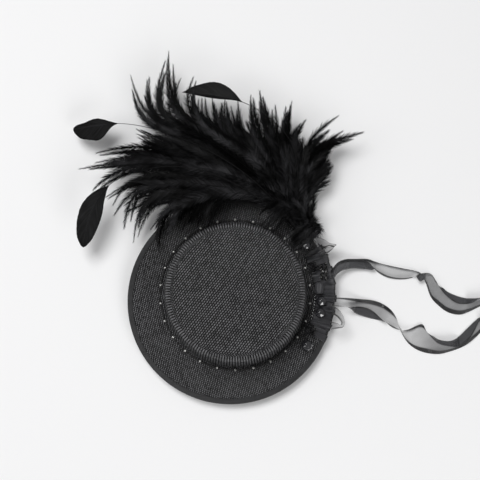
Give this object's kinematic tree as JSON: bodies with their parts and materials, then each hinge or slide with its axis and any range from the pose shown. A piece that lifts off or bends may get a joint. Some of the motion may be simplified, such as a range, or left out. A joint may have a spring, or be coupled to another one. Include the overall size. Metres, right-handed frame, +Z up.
{
  "type": "fascinator hat",
  "caption": "Small black flat-topped fascinator hat with a round brim, feather fan, stones, beads and loose organza ribbon tails, held by spring hair clips.",
  "frame": {"origin": "on the crown's axis, at the underside of the felt base", "axes": "+Z up out of the crown, -Y the front of the hat, +X towards the side where the ribbon tails leave"},
  "size_m": [0.3693, 0.2648, 0.0406],
  "materials": {
    "felt": "matt black wool felt",
    "straw_cloth": "black woven straw cloth, slight sheen",
    "crown_cloth": "black woven straw cloth, slight sheen",
    "edge_tape": "black woven tape",
    "wire": "plain drawn wire",
    "buckram": "stiffened black mesh",
    "black_cord": "twisted black cord",
    "silver_beads": "small mirror-bright beads",
    "hackle": "glossy black feather",
    "leaf_vane": "glossy black trimmed feather",
    "thread_wrap": "black thread and glue",
    "lace": "black beaded lace",
    "satin_petal": "black satin petals",
    "black_stone": "faceted black glass",
    "sequin": "glossy black sequins",
    "organza": "sheer black organza, satin edges",
    "clip_steel": "nickel-plated sheet steel",
    "spring_steel": "spring wire"
  },
  "bodies": {
    "hat": {"bead_strand": "sequin", "bow_knot": "organza", "bow_loop_lower": "organza", "bow_loop_upper": "organza", "brim": "straw_cloth", "brim_binding": "edge_tape", "brim_wire": "wire", "clip_back_pin": "clip_steel", "clip_back_spring": "spring_steel", "clip_back_upper_jaw": "clip_steel", "clip_front_pin": "clip_steel", "clip_front_spring": "spring_steel", "clip_front_upper_jaw": "clip_steel", "clip_stitches": "thread_wrap", "crown_cord": "black_cord", "crown_form": "buckram", "crown_side": "crown_cloth", "crown_top": "crown_cloth", "feather_patch": "felt", "felt_base": "felt", "hackles_left": "hackle", "hackles_lower_left": "hackle", "hackles_right": "hackle", "hackles_top": "hackle", "hackles_upper_left": "hackle", "hackles_upper_right": "hackle", "jewel_bead": "black_stone", "jewel_flower": "black_stone", "jewel_lower": "black_stone", "jewel_upper": "black_stone", "lace_flower": "lace", "leaf_feather_left": "leaf_vane", "leaf_feather_lower": "leaf_vane", "leaf_feather_top": "leaf_vane", "organza_ruffle": "organza", "quill_binding": "thread_wrap", "ribbon_tail_lower": "organza", "ribbon_tail_upper": "organza", "rosette_lower": "satin_petal", "rosette_upper": "satin_petal", "sequin_strand": "sequin", "trim_beads": "silver_beads"},
    "clip_front_jaw": {"clip_front_lower_jaw": "clip_steel"},
    "clip_back_jaw": {"clip_back_lower_jaw": "clip_steel"}
  },
  "joints": [
    {"name": "clip_front_open", "type": "hinge", "parent": "hat", "child": "clip_front_jaw", "pos_m": [-0.008, -0.02, -0.003], "axis": [0, 1, 0], "range_deg": [0, 18], "stiffness_Nm_per_rad": 0.08, "springref_deg": -34.38, "deforming": ["clip_front_spring"]},
    {"name": "clip_back_open", "type": "hinge", "parent": "hat", "child": "clip_back_jaw", "pos_m": [-0.008, 0.034, -0.003], "axis": [0, 1, 0], "range_deg": [0, 18], "stiffness_Nm_per_rad": 0.08, "springref_deg": -34.38, "deforming": ["clip_back_spring"]}
  ]
}
